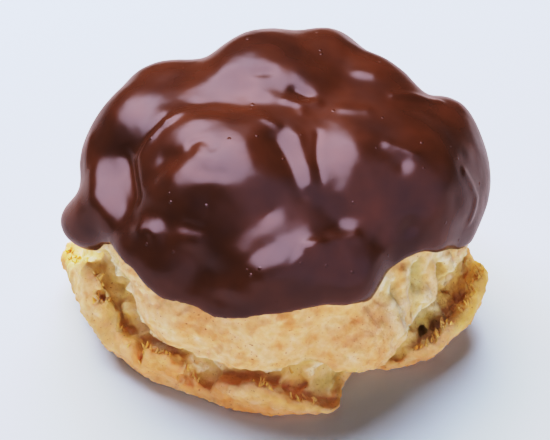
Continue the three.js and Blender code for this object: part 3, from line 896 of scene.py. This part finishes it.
# Folds, creases and dents in the icing: the line they follow, their half width and their height.
GLAZE_FOLDS = [
    # the fold that runs over the middle-left lobe, and the groove above it
    ([(-25.8, -10.2, 45.2), (-23.8, -8.6, 48.2), (-20.7, -6.8, 50.9)], 0.85, 0.25),
    ([(-20.7, -6.8, 50.9), (-15.5, -4.6, 52.0), (-11.2, -4.0, 52.0), (-6.0, -6.6, 53.2)], 0.88, 0.22),
    ([(-26.8, -8.6, 46.0), (-24.4, -7.0, 48.8), (-21.0, -5.4, 51.4)], 1.1, -0.4),
    ([(-22.0, -8.4, 50.0), (-16.0, -7.0, 51.8), (-10.8, -6.6, 52.6), (-5.6, -9.2, 53.2)], 1.5, -0.17),
    # smears on that lobe
    ([(-20.8, -14.6, 47.6), (-19.2, -15.6, 48.6)], 1.9, -0.36),
    ([(-17.0, -16.4, 49.6), (-15.4, -15.4, 50.6)], 1.1, -0.16),
    ([(-15.6, -14.4, 51.0), (-13.2, -14.4, 51.8), (-11.2, -17.0, 51.8)], 0.88, -0.22),
    ([(-14.4, -17.6, 51.0), (-12.4, -19.2, 50.8)], 1, 0.17),
    ([(-13.4, -21.2, 49.6), (-9.5, -22.2, 49.8)], 1.25, -0.25),
    ([(-24.0, -16.6, 44.2), (-21.6, -19.6, 44.8)], 1.8, -0.3),
    # valley, bright wedge and crease beside the middle-right lobe
    ([(0.4, -13.3, 51.0), (2.3, -16.2, 49.6), (4.4, -20.0, 47.7), (5.6, -23.2, 45.4)], 1.62, -0.33),
    ([(4.4, -12.0, 50.8), (5.7, -17.4, 48.5), (6.8, -21.2, 46.5)], 1.62, 0.39),
    ([(8.6, -10.4, 50.6), (8.4, -16.6, 48.6), (9.2, -21.6, 45.9)], 0.7, -0.22),
    ([(15.5, -13.0, 49.5), (16.0, -18.0, 47.6), (14.5, -22.0, 45.5)], 4.2, 0.8),
    ([(10.0, -23.6, 43.6), (12.2, -25.2, 41.8)], 3, -1.0),
    # crown
    ([(-3.2, 3.6, 55.2), (-0.8, 3.8, 55.0)], 1.12, -0.22),
    ([(-6.5, -0.5, 53.6)], 2.2, -0.26),
    ([(-2.6, -1.0, 53.8), (-0.8, -1.6, 53.6)], 1.62, 0.17),
    ([(4.4, 0.2, 53.4), (6.4, -0.6, 52.9)], 1.12, -0.5),
    ([(2.6, -2.7, 52.9), (5.3, -3.4, 52.4), (8.6, -2.2, 52.0)], 1, 0.33),
    ([(5.6, -5.4, 52.1)], 1.12, 0.19),
    ([(-1.5, -9.0, 52.9), (0.8, -10.1, 52.3)], 0.88, 0.25),
    ([(13.6, -3.2, 51.2), (18.3, -3.2, 51.0)], 1.38, 0.28),
    ([(17.8, 9.0, 51.8), (19.8, 8.6, 51.6)], 1.98, 0.39),
    ([(23.7, 2.8, 50.4), (28.3, 4.8, 48.6), (33.5, 7.6, 45.6)], 1, 0.33),
    # left side
    ([(-35.4, -8.0, 38.6), (-34.4, -12.0, 36.6), (-32.4, -16.5, 34.8)], 3.2, 0.95),
    ([(-28.1, -8.0, 43.0), (-26.9, -12.6, 41.2), (-25.8, -16.5, 39.8)], 1.7, -0.6),
    ([(-36.4, -0.3, 41.8), (-37.4, -4.6, 38.6)], 1.38, 0.28),
    ([(-24.8, -24.0, 37.8), (-22.4, -25.2, 37.8)], 2.4, 0.96),
    ([(-23.8, -25.4, 37.0)], 0.88, -0.25),
    ([(-17.4, -27.2, 38.4), (-14.6, -28.2, 38.2)], 1.98, 0.39),
    ([(-16.5, -26.5, 40.8), (-13.4, -27.4, 40.4)], 1.25, -0.28),
    # front knob: crinkles and the ridge to its right
    ([(-0.9, -26.6, 43.8)], 1.9, -0.5),
    ([(-4.8, -31.0, 38.6), (-2.2, -29.6, 40.6), (1.4, -28.6, 42.2)], 2.2, 0.16),
    ([(-2.6, -33.0, 38.1), (0.2, -31.2, 40.0)], 0.7, -0.06),
    ([(-4.6, -32.6, 37.4), (-2.0, -31.6, 39.2)], 0.75, -0.07),
    ([(-1.5, -35.0, 35.5), (3.0, -34.0, 37.5), (6.5, -32.0, 39.0)], 3.0, 0.7),
    ([(3.2, -33.8, 37.8), (4.5, -31.5, 39.5)], 0.75, -0.14),
    ([(6.0, -31.2, 39.6), (8.5, -30.4, 39.8)], 1, 0.33),
    ([(7.9, -31.7, 39.0), (11.7, -29.0, 39.6), (15.5, -27.6, 39.0)], 1.5, 0.44),
    # right lobe
    ([(22.3, -11.4, 48.4), (27.0, -12.4, 47.0)], 1.12, 0.33),
    ([(24.7, -14.7, 46.4)], 1.87, -0.45),
    ([(20.4, -15.6, 46.8), (19.2, -19.4, 44.6)], 2.42, 0.33),
    ([(26.5, -21.7, 36.5)], 1.65, -0.45),
    ([(35.5, -15.0, 38.2)], 2.2, -0.33),
    ([(37.6, -9.2, 40.2), (40.2, -9.1, 33.7), (39.1, -11.6, 30.1)], 1, 0.28),
    ([(27.2, -18.7, 42.0), (29.4, -19.0, 40.6)], 1.76, -0.26),
    ([(21.3, -24.4, 37.9), (20.0, -26.8, 36.8)], 1.76, -0.33),
    # front face
    ([(-12.8, -31.7, 31.2), (-7.1, -35.0, 32.0)], 2.42, 0.33),
    ([(-9.0, -35.0, 29.6), (-5.0, -36.4, 29.2)], 1.5, -0.22),
]


def looks_outwards(points, facing):
    """Above 0 on the icing's outer face and below 0 on its inner one."""
    return np.sum(facing * (points - np.array(GLAZE_MIDDLE)), axis=1)


def chocolate_glaze():
    """The poured icing: a smooth thick skin that sits on the crust."""
    glaze = merged_copy("chocolate_icing", "chocolate_glaze")
    points = positions(glaze)
    facing = normals(glaze)
    inner = looks_outwards(points, facing) < 0
    points[inner] += facing[inner] * GLAZE_SINK
    place(glaze, points)
    apply_modifier(glaze, "SUBSURF", levels=1, render_levels=1)
    apply_modifier(glaze, "REMESH", mode="VOXEL", voxel_size=GLAZE_GRAIN * MM)
    smooth(glaze, 6)
    points = positions(glaze)
    outer_spots = points[looks_outwards(points, normals(glaze)) > 0].tolist()
    tree = skin_tree(glaze)
    swells = scattered(tree, outer_spots, GLAZE_CHANCE, *SWELLS)
    dips = scattered(tree, outer_spots, GLAZE_CHANCE, *DIPS)
    sculpt(glaze, GLAZE_FOLDS + swells + dips)
    relief(glaze, texture("icing swell", "CLOUDS", BROAD_SWELL_SIZE), BROAD_SWELL_HEIGHT)
    smooth(glaze, 2)
    keep_inside(glaze)
    only(glaze)
    bpy.ops.object.shade_smooth()
    glaze.data.materials.append(poured_chocolate_icing())
    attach(glaze, "root")
    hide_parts("chocolate_icing")


# ---------------------------------------------------------------- stage, light and camera

CAMERA_AIM = Vector((0.4, 0, 21.3)) * MM
CAMERA_ELEVATION = math.radians(38)
CAMERA_DISTANCE = 378 * MM
LENS = 120                  # focal length
FILM_WIDTH = 36
NEAREST_SEEN = 10 * MM
TABLE_WIDTH = 6             # in metres, as the lights' sizes and distance are

# The lights: a broad key behind the bun and a low strip in front. Each has a direction, size and power.
LIGHT_DISTANCE = 0.9
LIGHT_COLOUR = (0.95, 1.0, 1.06)
TO_KEY = (-0.21, 0.61, 0.76)
KEY_WIDTH = 1.2
KEY_WATTS = 20.2
TO_FILL = (0.15, -0.98, 0.1)
FILL_WIDTH = 2.0
FILL_HEIGHT = 0.14
FILL_WATTS = 3.6

# What the gloss mirrors: the dim room, the table, and two round glows. Each glow has a direction, a
# brightness, and the cosines at which it begins and is full.
ROOM_GLOW = (0.045, 0.048, 0.054, 1)
TABLE_GLOW = (0.62, 0.54, 0.60, 1)
TABLE_EDGE = (-0.1, 0.05)   # the table fades into the room here: 0 is the horizon and 1 is overhead
TO_OVERHEAD = (-0.30, 0.01, 0.953)
OVERHEAD_GLOW = (3.6, 3.55, 4.3, 1)
OVERHEAD_EDGE = (0.71, 0.84)
TO_WINDOW = (0.58, -0.74, 0.34)
WINDOW_GLOW = (0.80, 0.72, 0.92, 1)
WINDOW_EDGE = (0.35, 0.95)

ALL_COLOURS = 3             # the camera response's curve for red, green and blue together

# How the camera answers to light: scene brightness and the brightness it records.
CAMERA_RESPONSE = [
    (0.0, 0.0), (0.04, 0.036), (0.1, 0.14), (0.2, 0.335), (0.35, 0.56), (0.5, 0.68), (0.8, 0.76), (1.1, 0.80),
    (2.0, 0.95),
]


def softbox(name, towards, width, height, watts):
    """One oval soft light that faces the bun, and that the gloss doesn't mirror."""
    light = bpy.data.lights.new(name, "AREA")
    light.shape = "ELLIPSE"
    light.size = width
    light.size_y = height
    light.energy = watts
    light.color = LIGHT_COLOUR
    lamp = bpy.data.objects.new(name, light)
    bpy.context.scene.collection.objects.link(lamp)
    direction = Vector(towards).normalized()
    lamp.location = CAMERA_AIM + direction * LIGHT_DISTANCE
    lamp.rotation_euler = direction.to_track_quat("Z", "Y").to_euler()
    lamp.visible_glossy = False


def share_between(tree, value, limits, **settings):
    """0 at the first limit, 1 at the second."""
    start, end = limits
    links = {"Value": value, "From Min": start, "From Max": end}
    return add_node(tree, "ShaderNodeMapRange", links, **settings).outputs["Result"]


def glow(tree, direction, towards, edge):
    """A round light with a soft edge: 0 outside it and 1 at its core."""
    links = {0: direction, 1: Vector(towards).normalized()}
    nearing = add_node(tree, "ShaderNodeVectorMath", links, operation="DOT_PRODUCT").outputs["Value"]
    return share_between(tree, nearing, edge, interpolation_type="SMOOTHSTEP")


def mirrored_room():
    """What only the gloss sees: a dim room, a pale table, a window at the front right, a light overhead."""
    world = bpy.data.worlds.new("mirrored room")
    world.use_nodes = True
    tree = world.node_tree
    direction = add_node(tree, "ShaderNodeTexCoord").outputs["Generated"]
    height = add_node(tree, "ShaderNodeSeparateXYZ", {"Vector": direction}).outputs["Z"]
    shade = mixed(tree, glow(tree, direction, TO_WINDOW, WINDOW_EDGE), ROOM_GLOW, WINDOW_GLOW)
    shade = mixed(tree, share_between(tree, height, TABLE_EDGE), TABLE_GLOW, shade)
    shade = mixed(tree, glow(tree, direction, TO_OVERHEAD, OVERHEAD_EDGE), shade, OVERHEAD_GLOW)
    tree.links.new(shade, tree.nodes["Background"].inputs["Color"])
    world.cycles_visibility.diffuse = False
    return world


def studio():
    """A pale table, a soft key light behind, a low fill in front, and the room that the gloss mirrors."""
    bpy.ops.object.select_all(action="DESELECT")
    bpy.ops.mesh.primitive_plane_add(size=TABLE_WIDTH)
    table = bpy.context.object
    table.name = "studio_table"
    table.data.materials.append(studio_floor())
    table.visible_glossy = False
    softbox("key_softbox", TO_KEY, KEY_WIDTH, KEY_WIDTH, KEY_WATTS)
    softbox("fill_strip", TO_FILL, FILL_WIDTH, FILL_HEIGHT, FILL_WATTS)
    bpy.context.scene.world = mirrored_room()


def camera_response():
    """Bright light is held back and dim light kept, as a camera does, on the curve for all three colours."""
    view = bpy.context.scene.view_settings
    view.view_transform = "Standard"
    view.use_curve_mapping = True
    mapping = view.curve_mapping
    mapping.use_clip = False
    curve = mapping.curves[ALL_COLOURS]
    curve.points[0].location = CAMERA_RESPONSE[0]
    curve.points[-1].location = CAMERA_RESPONSE[-1]
    for light_in, light_out in CAMERA_RESPONSE[1:-1]:
        curve.points.new(light_in, light_out)
    mapping.update()


def camera():
    """A long lens, looking down at the front of the bun."""
    lens = bpy.data.cameras.new("camera")
    lens.lens = LENS
    lens.sensor_width = FILM_WIDTH
    lens.clip_start = NEAREST_SEEN
    seen_from = bpy.data.objects.new("camera", lens)
    bpy.context.scene.collection.objects.link(seen_from)
    back = Vector((0, -math.cos(CAMERA_ELEVATION), math.sin(CAMERA_ELEVATION)))
    seen_from.location = CAMERA_AIM + back * CAMERA_DISTANCE
    seen_from.rotation_euler = back.to_track_quat("Z", "Y").to_euler()
    bpy.context.scene.camera = seen_from


crust = choux_crust()
chocolate_glaze()
crust_tree = skin_tree(crust)
torn_fringe(crust_tree, FRINGE_CHANCE)
torn_flakes(crust_tree, FRINGE_CHANCE)
studio()
camera()
camera_response()

bpy.context.view_layer.update()
